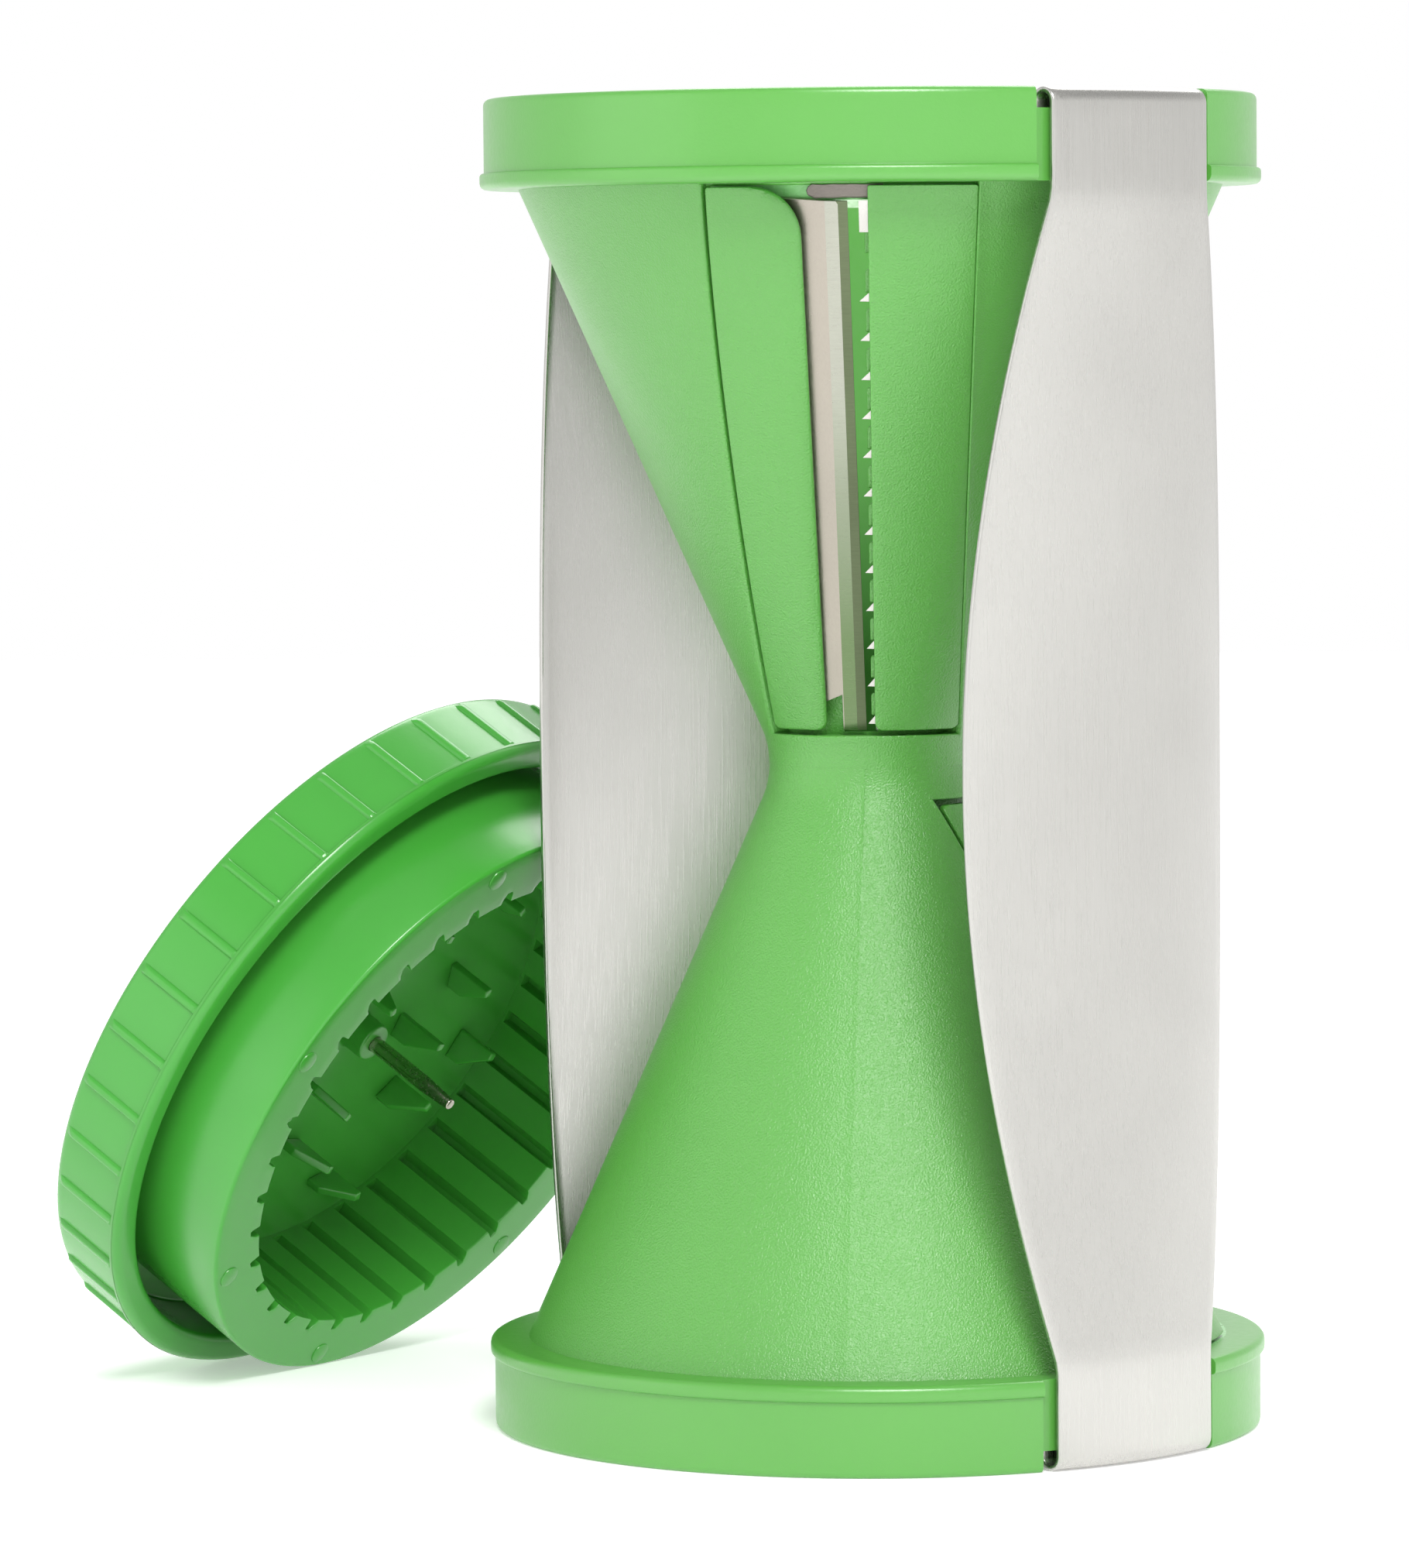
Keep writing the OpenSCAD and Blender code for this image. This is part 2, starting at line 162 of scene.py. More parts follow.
def outer_r(z):
    """Outside of the upper half, with the rounded waist."""
    if z - WAIST_Z < BLEND_R * math.sin(CONE_ANGLE):
        return WAIST_R + BLEND_R - math.sqrt(BLEND_R ** 2 - (z - WAIST_Z) ** 2)
    return cone_r(z)


def slot_share(z):
    return (min(max(z, SLOT_BOTTOM), SLOT_TOP) - SLOT_BOTTOM) / SLOT_DROP


def left_edge(z):
    return WINDOW_LEFT_TOP + WINDOW_LEFT_SHIFT * (1 - slot_share(z)) ** WINDOW_LEFT_POWER


def right_edge(z):
    return WINDOW_RIGHT_BOTTOM + (WINDOW_RIGHT_TOP - WINDOW_RIGHT_BOTTOM) * slot_share(z)


def holder_left(z):
    return HOLDER_LEFT_BOTTOM + (HOLDER_LEFT_TOP - HOLDER_LEFT_BOTTOM) * slot_share(z)


def tip_left(z):
    return TIP_LEFT_BOTTOM + (TIP_LEFT_TOP - TIP_LEFT_BOTTOM) * slot_share(z)


def throat_right(z):
    return 1.0 + 0.6 * slot_share(z)


def cover_right(z):
    return -3.95 - 0.8 * slot_share(z)


# ---------------------------------------------------------------- small geometry helpers
def spread(a, b, count):
    """count + 1 evenly spaced values from a to b."""
    return [a + (b - a) * i / count for i in range(count + 1)]


def polar(radius, azimuth, z):
    """Azimuth is in degrees from -Y towards +X."""
    a = math.radians(azimuth)
    return Vector((radius * math.sin(a), -radius * math.cos(a), z))


def slot_point(s, z, depth):
    """A point that lies depth under the upper cone, s to the right of the slot's centre line."""
    at = min(max(z, SLOT_BOTTOM - 1), SLOT_TOP)
    turn = math.degrees(math.asin(max(-0.97, min(0.97, s / cone_r(at)))))
    return polar(layer_r(z, depth), SLOT_AZ + turn, z)


def turned_over(p):
    """Upper half to lower half: half a turn about the level line through the plates' centres."""
    a = math.radians(PLATE_AZ)
    line = Vector((math.sin(a), -math.cos(a), 0))
    rel = p - Vector((0, 0, WAIST_Z))
    return 2 * rel.dot(line) * line - rel + Vector((0, 0, WAIST_Z))


CAP_TURN = Matrix.Rotation(CAP_HEADING, 3, "Z") @ Matrix.Rotation(CAP_TILT, 3, "Y")


def cap_point(p):
    """From the cap's own frame, with its open side up and its lip at zero, to the row frame."""
    return CAP_TURN @ p + CAP_POS


def rounded(corners, radii, steps=4, closed=True):
    """Rounds a polyline's corners. Radii may be one number for all of them."""
    count = len(corners)
    if not hasattr(radii, "__len__"):
        radii = [radii] * count
    out = []
    for i, (corner, radius) in enumerate(zip(corners, radii)):
        b = Vector(corner)
        if radius <= 0 or (not closed and i in (0, count - 1)):
            out.append(tuple(b))
            continue
        u = (Vector(corners[i - 1]) - b).normalized()
        v = (Vector(corners[(i + 1) % count]) - b).normalized()
        half = math.acos(max(-1, min(1, u.dot(v)))) / 2
        centre = b + (u + v).normalized() * radius / math.sin(half)
        start = b + u * radius / math.tan(half) - centre
        end = b + v * radius / math.tan(half) - centre
        sweep = math.pi - 2 * half
        for k in range(steps + 1):
            t = k / steps
            mix = (start * math.sin((1 - t) * sweep) + end * math.sin(t * sweep)) / math.sin(sweep)
            out.append(tuple(centre + mix))
    return out


def resampled(outline, spacing):
    """Adds points so that no side of a closed outline is longer than spacing."""
    out = []
    for i, a in enumerate(outline):
        a, b = Vector(a), Vector(outline[(i + 1) % len(outline)])
        parts = max(1, math.ceil((b - a).length / spacing))
        out += [tuple(a.lerp(b, k / parts)) for k in range(parts)]
    return out


def divided(line, spacing):
    """Adds points so that no side of an open line is longer than spacing(a, b)."""
    out = []
    for a, b in zip(line, line[1:] + line[-1:]):
        a, b = Vector(a), Vector(b)
        parts = max(1, math.ceil((b - a).length / spacing(a, b)))
        out += [tuple(a.lerp(b, k / parts)) for k in range(parts)]
    return out


def area_of(outline):
    return sum(a[0] * b[1] - b[0] * a[1] for a, b in zip(outline, outline[1:] + outline[:1])) / 2


def inset(outline, amount):
    """Moves a counter-clockwise outline inwards."""
    out = []
    for i, p in enumerate(outline):
        before = (Vector(p) - Vector(outline[i - 1])).normalized()
        after = (Vector(outline[(i + 1) % len(outline)]) - Vector(p)).normalized()
        normal = Vector((-before.y - after.y, before.x + after.x)).normalized()
        miter = max(0.5, normal.dot(Vector((-before.y, before.x))))
        out.append(tuple(Vector(p) + normal * amount / miter))
    return out


def inside(p, outline):
    hit = False
    for a, b in zip(outline, outline[1:] + outline[:1]):
        if (a[1] > p[1]) != (b[1] > p[1]):
            if p[0] < a[0] + (b[0] - a[0]) * (p[1] - a[1]) / (b[1] - a[1]):
                hit = not hit
    return hit


class Shape:
    """Points in millimetres and faces over them, each face with a material number."""

    def __init__(self):
        self.points, self.faces, self.looks = [], [], []

    def add(self, rows):
        table = []
        for row in rows:
            table.append(list(range(len(self.points), len(self.points) + len(row))))
            self.points += [Vector(p) for p in row]
        return table

    def face(self, corners, look=0):
        self.faces.append(corners)
        self.looks.append(look)

    def skin(self, table, wrap_rows=False, wrap_cols=False, keep=None, look=None):
        rows, cols = len(table), len(table[0])
        for i in range(rows if wrap_rows else rows - 1):
            for j in range(cols if wrap_cols else cols - 1):
                if keep is None or keep(i, j):
                    i2, j2 = (i + 1) % rows, (j + 1) % cols
                    self.face([table[i][j], table[i][j2], table[i2][j2], table[i2][j]],
                              look(i, j) if look else 0)

    def place(self, move):
        self.points = [move(p) for p in self.points]
        return self

    def join(self, other):
        base = len(self.points)
        self.points += other.points
        self.faces += [[base + k for k in f] for f in other.faces]
        self.looks += other.looks
        return self


def slab(outline, thickness, edge_r, spacing=1.2, creases=(), steps=3):
    """A flat piece with rounded edges. Its front is at z = 0 and its back at -thickness."""
    if area_of(outline) < 0:
        outline = outline[::-1]
    outline = resampled(outline, spacing)
    count = len(outline)
    shape = Shape()
    front_rings, back_rings = [], []
    for k in range(steps + 1):
        a = math.pi / 2 * k / steps
        ring = inset(outline, edge_r * (1 - math.sin(a)))
        drop = edge_r * (1 - math.cos(a))
        front_rings.append([Vector((x, y, -drop)) for x, y in ring])
        back_rings.append([Vector((x, y, drop - thickness)) for x, y in ring])
    table = shape.add(front_rings + back_rings[::-1])
    shape.skin(table, wrap_cols=True)
    border = [(p.x, p.y) for p in front_rings[0]]
    flat = list(border)
    edges = []
    for line in creases:
        first = len(flat)
        flat += line
        edges += [(first + k, first + k + 1) for k in range(len(line) - 1)]
    xs, ys = [p[0] for p in border], [p[1] for p in border]
    margin = inset(border, spacing * 0.4)
    for i in range(1, math.ceil((max(xs) - min(xs)) / spacing)):
        for j in range(1, math.ceil((max(ys) - min(ys)) / spacing)):
            p = (min(xs) + i * spacing, min(ys) + j * spacing)
            if inside(p, margin):
                flat.append(p)
    coords, _, triangles, _, _, _ = delaunay_2d_cdt(
        [Vector(p) for p in flat], edges, [list(range(count))], 1, 1e-6)
    places = {}
    for side, ring in ((0, table[0]), (1, table[-1])):
        for n, p in enumerate(coords):
            if n < count and (p - Vector(border[n])).length < 1e-5:
                places[side, n] = ring[n]
            else:
                places[side, n] = len(shape.points)
                shape.points.append(Vector((p.x, p.y, -thickness * side)))
        for tri in triangles:
            corners = [places[side, n] for n in tri]
            shape.face(corners[::-1] if side else corners)
    return shape


def lathe(profile, azimuths, radius=None, closed=False):
    """Turns a profile of (radius, height) about Z. radius(i, azimuth, r) may change a row's radius."""
    rows = []
    for i, (r, z) in enumerate(profile):
        rows.append([polar(radius(i, a, r) if radius else r, a, z) for a in azimuths])
    shape = Shape()
    shape.skin(shape.add(rows), wrap_rows=closed, wrap_cols=True)
    return shape


# ---------------------------------------------------------------- materials
def new_material(name):
    mat = bpy.data.materials.new(name)
    mat.use_nodes = True
    nodes = mat.node_tree.nodes
    return mat, nodes, mat.node_tree.links, nodes["Principled BSDF"]


def object_coords(nodes, links, scale=(1, 1, 1)):
    coords = nodes.new("ShaderNodeTexCoord")
    mapping = nodes.new("ShaderNodeMapping")
    mapping.inputs["Scale"].default_value = scale
    links.new(coords.outputs["Object"], mapping.inputs["Vector"])
    return mapping.outputs["Vector"]


def noise(nodes, links, vector, scale, detail=2.0, rough=0.5):
    node = nodes.new("ShaderNodeTexNoise")
    node.inputs["Scale"].default_value = scale
    node.inputs["Detail"].default_value = detail
    node.inputs["Roughness"].default_value = rough
    links.new(vector, node.inputs["Vector"])
    return node.outputs["Fac"]


def remap(nodes, links, value, low, high, from_low=0.3, from_high=0.7):
    node = nodes.new("ShaderNodeMapRange")
    for socket, number in (("From Min", from_low), ("From Max", from_high),
                           ("To Min", low), ("To Max", high)):
        node.inputs[socket].default_value = number
    links.new(value, node.inputs["Value"])
    return node.outputs["Result"]


def blend_colours(nodes, links, value, first, second):
    node = nodes.new("ShaderNodeMix")
    node.data_type = "RGBA"
    node.inputs["A"].default_value = (*first, 1)
    node.inputs["B"].default_value = (*second, 1)
    links.new(value, node.inputs["Factor"])
    return node.outputs["Result"]


def bump(nodes, links, height, strength, distance, under=None):
    node = nodes.new("ShaderNodeBump")
    node.inputs["Strength"].default_value = strength
    node.inputs["Distance"].default_value = distance
    links.new(height, node.inputs["Height"])
    if under:
        links.new(under, node.inputs["Normal"])
    return node.outputs["Normal"]


def plastic(name, colour, roughness, grain, grain_size, scatter, gloss):
    """Moulded plastic: slow shade changes, fine orange-peel grain and tiny sink marks."""
    mat, nodes, links, shader = new_material(name)
    vector = object_coords(nodes, links)
    slow = noise(nodes, links, vector, 45, 3)
    fine = noise(nodes, links, vector, 1 / grain_size, 2)
    speck = noise(nodes, links, vector, 1400, 1)
    darker = [c * 0.94 for c in colour]
    lighter = [min(1, c * 1.05) for c in colour]
    links.new(blend_colours(nodes, links, slow, darker, lighter), shader.inputs["Base Color"])
    links.new(remap(nodes, links, speck, roughness - 0.02, roughness + 0.02), shader.inputs["Roughness"])
    waves = bump(nodes, links, noise(nodes, links, vector, 160, 2), 0.05, 0.00025)
    links.new(bump(nodes, links, fine, 0.9, grain, waves), shader.inputs["Normal"])
    shader.inputs["IOR"].default_value = 1.49
    shader.inputs["Specular IOR Level"].default_value = gloss
    shader.inputs["Subsurface Weight"].default_value = scatter
    shader.inputs["Subsurface Radius"].default_value = (0.35, 1.0, 0.25)
    shader.inputs["Subsurface Scale"].default_value = 0.0015
    return mat


# Metres from the waist between which a blade's stain and its painted reflection of the green plastic fade
# out
STAIN_AND_REFLECTION_FROM, STAIN_AND_REFLECTION_TO = 0.012, 0.036


def steel(name, colour, roughness, along, streak=0.000012, mottle=0.03, waist_stain_and_reflection=None):
    """Brushed or ground steel. along scales the noise, with small numbers along the strokes.
    The last argument is the colour that the steel turns to at the waist's end of a slot: partly a stain,
    partly a painted reflection of the green plastic."""
    mat, nodes, links, shader = new_material(name)
    strokes = noise(nodes, links, object_coords(nodes, links, along), 1.0, 3, 0.7)
    cloud = noise(nodes, links, object_coords(nodes, links), 60, 3)
    shades = nodes.new("ShaderNodeMath")
    shades.operation = "MULTIPLY_ADD"
    links.new(strokes, shades.inputs[0])
    shades.inputs[1].default_value = 0.5
    links.new(remap(nodes, links, cloud, 0.1, 0.4), shades.inputs[2])
    darker = [c * (1 - mottle * 2) for c in colour]
    lighter = [min(1, c * (1 + mottle)) for c in colour]
    finish = blend_colours(nodes, links, shades.outputs[0], darker, lighter)
    # Darker and greener towards the waist: partly a stain, partly a painted reflection of the green plastic
    if waist_stain_and_reflection:
        split = nodes.new("ShaderNodeSeparateXYZ")
        links.new(object_coords(nodes, links), split.inputs[0])
        height = nodes.new("ShaderNodeMath")
        height.operation = "SUBTRACT"
        links.new(split.outputs["Z"], height.inputs[0])
        height.inputs[1].default_value = WAIST_Z * MM
        away = nodes.new("ShaderNodeMath")
        away.operation = "ABSOLUTE"
        links.new(height.outputs[0], away.inputs[0])
        stain_and_reflection_mix = nodes.new("ShaderNodeMix")
        stain_and_reflection_mix.data_type = "RGBA"
        stain_and_reflection_mix.inputs["B"].default_value = (*waist_stain_and_reflection, 1)
        links.new(finish, stain_and_reflection_mix.inputs["A"])
        links.new(remap(nodes, links, away.outputs[0], 1, 0, STAIN_AND_REFLECTION_FROM, STAIN_AND_REFLECTION_TO), stain_and_reflection_mix.inputs["Factor"])
        finish = stain_and_reflection_mix.outputs["Result"]
    links.new(finish, shader.inputs["Base Color"])
    links.new(remap(nodes, links, strokes, roughness - 0.06, roughness + 0.08), shader.inputs["Roughness"])
    links.new(bump(nodes, links, strokes, 0.6, streak), shader.inputs["Normal"])
    shader.inputs["Metallic"].default_value = 1.0
    return mat


BODY_GREEN = (0.098, 0.36, 0.055)
# A lighter copy of the body green: painted light for the recess at the slot's upper end, which lies in shade
PAINTED_LIGHT_GREEN = (0.24, 0.58, 0.21)
CAP_GREEN = (0.054, 0.335, 0.038)
grained = plastic("body_plastic_grained", BODY_GREEN, 0.33, 0.00011, 0.00018, 0.12, 0.9)
smooth_green = plastic("body_plastic_smooth", BODY_GREEN, 0.31, 0.000015, 0.0003, 0.12, 0.85)
painted_light_green = plastic("body_plastic_painted_light", PAINTED_LIGHT_GREEN, 0.28, 0.000005, 0.0003, 0.12, 0.5)
inside_green = plastic("body_plastic_inside", BODY_GREEN, 0.50, 0.000015, 0.0003, 0.12, 0.2)
cap_green = plastic("cap_plastic", CAP_GREEN, 0.25, 0.000006, 0.0004, 0.15, 0.65)
plate_steel = steel("plate_steel_brushed", (0.565, 0.558, 0.53), 0.29, (7000, 7000, 90), 0.000013, 0.07)
blade_steel = steel("blade_steel_rolled", (0.44, 0.40, 0.345), 0.33, (5000, 5000, 150), mottle=0.12)
# The ground face turns dark green towards the waist: partly a stain, partly a painted reflection of the
# green plastic
ground_steel = steel("blade_steel_ground", (0.45, 0.455, 0.39), 0.30, (400, 400, 7000), mottle=0.15,
                     waist_stain_and_reflection=(0.17, 0.24, 0.12))
edge_steel = steel("blade_steel_edge", (0.15, 0.185, 0.105), 0.35, (600, 600, 7000), mottle=0.25)
rough_steel = steel("clip_steel_rough", (0.27, 0.24, 0.22), 0.5, (1500, 1500, 3000), 0.00015, 0.35)
comb_steel = steel("comb_steel", (0.62, 0.60, 0.57), 0.30, (5000, 5000, 500))
pin_steel = steel("pin_steel_drawn", (0.50, 0.46, 0.40), 0.22, (2500, 2500, 2500), 0.000006)


# ---------------------------------------------------------------- pieces
def make_piece(name, shape, body, materials, nodes, sharp=38):
    """Turns a shape into a piece that stands for CAD nodes and rides on their body."""
    bm = bmesh.new()
    verts = [bm.verts.new(p * MM) for p in shape.points]
    for corners, look in zip(shape.faces, shape.looks):
        if len(set(corners)) > 2:
            face = bm.faces.new([verts[k] for k in corners])
            face.smooth = True
            face.material_index = look
    bmesh.ops.delete(bm, geom=[v for v in bm.verts if not v.link_faces], context="VERTS")
    bmesh.ops.remove_doubles(bm, verts=bm.verts, dist=WELD)
    bmesh.ops.dissolve_degenerate(bm, edges=bm.edges, dist=WELD)
    bmesh.ops.recalc_face_normals(bm, faces=bm.faces)
    for edge in bm.edges:
        if len(edge.link_faces) == 2 and edge.calc_face_angle(0) > math.radians(sharp):
            edge.smooth = False
    mesh = bpy.data.meshes.new(name)
    bm.to_mesh(mesh)
    bm.free()
    for mat in materials:
        mesh.materials.append(mat)
    obj = bpy.data.objects.new(name, mesh)
    bpy.context.scene.collection.objects.link(obj)
    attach(obj, body)
    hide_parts(*nodes)


def both_halves(name, build, materials, sharp=38):
    """The same shape in the upper and the lower half. build(lower) gives it in the upper place."""
    make_piece("upper_" + name + "_skin", build(False), "slicer", materials, ["upper_" + name], sharp)
    make_piece("lower_" + name + "_skin", build(True).place(turned_over), "slicer", materials,
               ["lower_" + name], sharp)


# Funnel: one closed grid. Columns follow the slot's edges, so its walls are clean rows of faces.
EDGE_STEPS = [(0.35, 0.0), (0.13, 0.03), (0.03, 0.13), (0.0, 0.32)]
# Right of the comb's holder the edge is crisp, with a fine raised line
SEAM_STEPS = [(0.0, 0.1), (0.03, 0.0), (0.09, -0.06), (0.19, -0.06), (0.3, 0.0)]
FULL_DEPTH = 9.0
PARTING_AZ = 87.6
FIXED_FROM, FIXED_TO = 75, 270


def funnel(lower):
    outer = [(WAIST_Z + up, 0.0) for up in (0, 0.5, 1.0, 1.5, 2.0, 2.4)]
    outer += [(SLOT_BOTTOM - back, depth) for back, depth in EDGE_STEPS]
    outer += [(SLOT_BOTTOM + 0.01, FULL_DEPTH)]
    first_throat = len(outer)
    outer += [(z, FULL_DEPTH) for z in spread(THROAT_BOTTOM, THROAT_TOP, 44)]
    last_throat = len(outer) - 1
    outer += [(SLOT_TOP - 0.7, FULL_DEPTH), (SLOT_TOP - 0.02, FULL_DEPTH), (SLOT_TOP, 0.0)]
    rim = rounded(
        [(cone_r(LIP_Z), LIP_Z), (LIP_R, LIP_Z), (LIP_R, LIP_Z + LIP_T), (SKIRT_R, LIP_Z + LIP_T),
         (SKIRT_R, TOTAL_H), (GROOVE_R, TOTAL_H), (GROOVE_R, GROOVE_FLOOR_Z),
         (MOUTH_R + MOUTH_WALL, GROOVE_FLOOR_Z), (MOUTH_R + MOUTH_WALL, TOTAL_H - 0.5),
         (MOUTH_R, TOTAL_H - 0.5), (MOUTH_R, MOUTH_FLOOR_Z), (layer_r(MOUTH_FLOOR_Z, WALL), MOUTH_FLOOR_Z)],
        [0, 0.6, 0.34, 0.05, 0.6, 0.3, 0.2, 0.2, 0.3, 0.3, 0.3, 0], 4, closed=False)[1:]
    rim_rows = divided(rim, lambda a, b: 1.3)
    inner = [z for z, _ in outer[first_throat:last_throat + 1]][::-1]
    bore_end = WAIST_Z + (CORE_R - layer_r(WAIST_Z, WALL)) / math.tan(CONE_ANGLE)

    section = {
        "outside left": lambda z, k: left_edge(z) - k,
        "left": lambda z, k: left_edge(z) + 0.01 + k * (THROAT_LEFT - left_edge(z) - 0.01),
        "throat": lambda z, k: THROAT_LEFT + k * (throat_right(z) - THROAT_LEFT),
        "right": lambda z, k: throat_right(z) + k * (right_edge(z) - 0.01 - throat_right(z)),
        "outside right": lambda z, k: right_edge(z) + k}
    columns = [("outside left", k, d) for k, d in EDGE_STEPS]
    columns += [("left", k, RECESS_D if k < 0.3 else 2.0) for k in (0, 0.06, 0.16, 0.3, 0.45, 0.6, 0.8, 1)]
    throat_first = len(columns) - 1
    columns += [("throat", k, 2.0 if k < 0.6 else 1.7) for k in (0.25, 0.5, 0.75, 1)]
    throat_last = len(columns) - 1
    columns += [("right", k, RECESS_D) for k in (0.12, 0.3, 0.5, 0.7, 0.9, 1)]
    columns += [("outside right", k, d) for k, d in SEAM_STEPS]

    def azimuth(z, column):
        at = min(max(z, SLOT_BOTTOM - 0.4), SLOT_TOP)
        return SLOT_AZ + math.degrees(math.asin(section[column[0]](z, column[1]) / cone_r(at)))

    rim_start, rim_end = azimuth(LIP_Z, columns[-1]), azimuth(LIP_Z, columns[0]) + 360
    notch_turn = math.degrees(math.asin(NOTCH_HALF_W / SKIRT_R))
    notches = [(PLATE_AZ + side - notch_turn, PLATE_AZ + side + notch_turn) for side in (0, 180)]
    rest = spread(rim_start, rim_end, 130)[1:-1]
    marks = [edge + nudge for pair in notches for edge in pair for nudge in (-0.03, 0.03)]
    partings = [PARTING_AZ, PARTING_AZ + 180]
    marks += [p + nudge for p in partings for nudge in (-0.35, 0, 0.35)]
    rest = sorted([a for a in rest if min(abs(a - m) for m in marks) > 0.9] + marks)

    def steered(a, start, end):
        """Columns near the slot lean with its edges, and the others go straight up the cone."""
        if a < FIXED_FROM:
            return start + (a - rim_start) * (FIXED_FROM - start) / (FIXED_FROM - rim_start)
        if a > FIXED_TO:
            return end - (rim_end - a) * (end - FIXED_TO) / (rim_end - FIXED_TO)
        return a

    def in_notch(a):
        return any(low < a < high for low, high in notches)

    def row_points(radius, z, depth, part):
        row = []
        for column in columns:
            d = column[2] if column[2] < 0 < depth else min(depth, max(0.0, column[2]))
            row.append(polar(radius - d / math.cos(CONE_ANGLE), azimuth(z, column), z))
        start, end = azimuth(z, columns[-1]), azimuth(z, columns[0]) + 360
        for a in rest:
            r, height = radius, z
            if part == "rim" and in_notch(a):
                r = min(r, NOTCH_R)
                if r > MOUTH_R + MOUTH_WALL + 0.9:
                    height = min(height, NOTCH_TOP_Z)
            if part == "outside" and a in partings:
                r += 0.03
            row.append(polar(r, steered(a, start, end), height))
        return row

    rows = [row_points(outer_r(z), z, d, "outside") for z, d in outer]
    rows += [row_points(r, z, 0, "rim") for r, z in rim_rows]
    inner_start = len(rows)
    rows += [row_points(layer_r(z, WALL), z, 0, "inside") for z in inner]
    rows += [row_points(CORE_R, z, 0, "inside") for z in (bore_end, WAIST_Z + 1, WAIST_Z)]

    shape = Shape()
    table = shape.add(rows)

    def in_throat(i, j):
        over = throat_first <= j < throat_last
        mirrored = inner_start + (last_throat - first_throat)
        return over and (first_throat <= i < last_throat or inner_start <= i < mirrored)

    last_outer = len(outer) - 1
    last_column = len(columns) - 1

    def look(i, j):
        """0 grained outside, 1 smooth rim and throat, 2 the slot's upper end in a lighter green that paints
        light into its shaded recess, 3 the dull inside.
        """
        if i >= inner_start:
            return 3
        if i >= last_outer:
            return 1
        return 2 if i >= last_throat and len(EDGE_STEPS) <= j < last_column - len(SEAM_STEPS) else 0

    shape.skin(table, wrap_rows=True, wrap_cols=True, keep=lambda i, j: not in_throat(i, j), look=look)

    def inner_row(i):
        return inner_start + last_throat - i

    for i in range(first_throat, last_throat):
        for j in (throat_first, throat_last):
            shape.face([table[i][j], table[i + 1][j], table[inner_row(i + 1)][j], table[inner_row(i)][j]], 1)
    for j in range(throat_first, throat_last):
        for i in (first_throat, last_throat):
            shape.face([table[i][j], table[i][j + 1], table[inner_row(i)][j + 1], table[inner_row(i)][j]], 1)

    # Low green ribs that stand between the comb's teeth, in the throat
    pitch = FINE_PITCH if lower else COARSE_PITCH
    z = COMB_FIRST_Z + 0.22 * pitch
    while z + 0.5 * pitch < COMB_LAST_Z + pitch:
        top = z + 0.60 * pitch
        rib = slab(rounded([(holder_left(z) - 0.36, z), (throat_right(z) + 0.3, z),
                            (throat_right(top) + 0.3, top), (holder_left(top) - 0.36, top)],
                           [0.16, 0, 0, 0.34], 4), 0.9, 0.12, 0.8)
        shape.join(rib.place(lambda p: slot_point(p.x, p.y, COMB_D + COMB_T + 0.08 - p.z)))
        z += pitch
    return shape


both_halves("funnel", funnel, [grained, smooth_green, painted_light_green, inside_green])


COVER_CORNER_R = 4.5
FLANK_W = 1.9
FLANK_DROP = 0.55


def blade_cover(lower):
    low, high = SLOT_BOTTOM + 0.5, SLOT_TOP - PANEL_GAP
    left = [(left_edge(z) + PANEL_GAP, z) for z in spread(high, low, 24)]
    right = [(cover_right(low), low), (cover_right(high), high)]
    radii = [0.3] + [0] * (len(left) - 2) + [0.7, 0.9, COVER_CORNER_R]
    outline = rounded(left + right, radii, 10)

    def flank(p):
        """How far the cover's face falls away towards its right edge."""
        up = min(COVER_CORNER_R, max(0, p.y - (high - COVER_CORNER_R)))
        side = cover_right(p.y) - COVER_CORNER_R + math.sqrt(COVER_CORNER_R ** 2 - up ** 2)
        t = min(1, max(0, 1 - (side - p.x) / FLANK_W))
        return FLANK_DROP * (1 - math.sqrt(1 - t * t * 0.96))

    return slab(outline, PANEL_T, 0.2, 0.6).place(
        lambda p: slot_point(p.x, p.y, -p.z + flank(p) * (1 + p.z / PANEL_T)))


def comb_holder(lower):
    low, high = SLOT_BOTTOM + 0.5, SLOT_TOP - PANEL_GAP
    gap = 0.3 if lower else 0.03
    corners = [(holder_left(low), low), (right_edge(low) - gap, low),
               (right_edge(high) - gap, high), (holder_left(high), high)]
    outline = rounded(corners, [0.7, 0.7, 0.2, 0.2], 5)
    return slab(outline, PANEL_T, 0.12).place(lambda p: slot_point(p.x, p.y, -p.z))


both_halves("blade_cover", blade_cover, [grained])
both_halves("comb_holder", comb_holder, [grained])


def on_cutting_edge(p):
    """From the blade's plane (x across, y up the cone, z outwards) to the upper slot."""
    tilt = Matrix.Rotation(-BLADE_TILT, 3, "Y")
    lean = Matrix.Rotation(math.pi / 2 + CONE_ANGLE, 3, "X")
    turn = Matrix.Rotation(math.radians(EDGE_AZ), 3, "Z")
    return turn @ (lean @ (tilt @ p) + Vector((0, -layer_r(BLADE_Z0, EDGE_D), BLADE_Z0)))


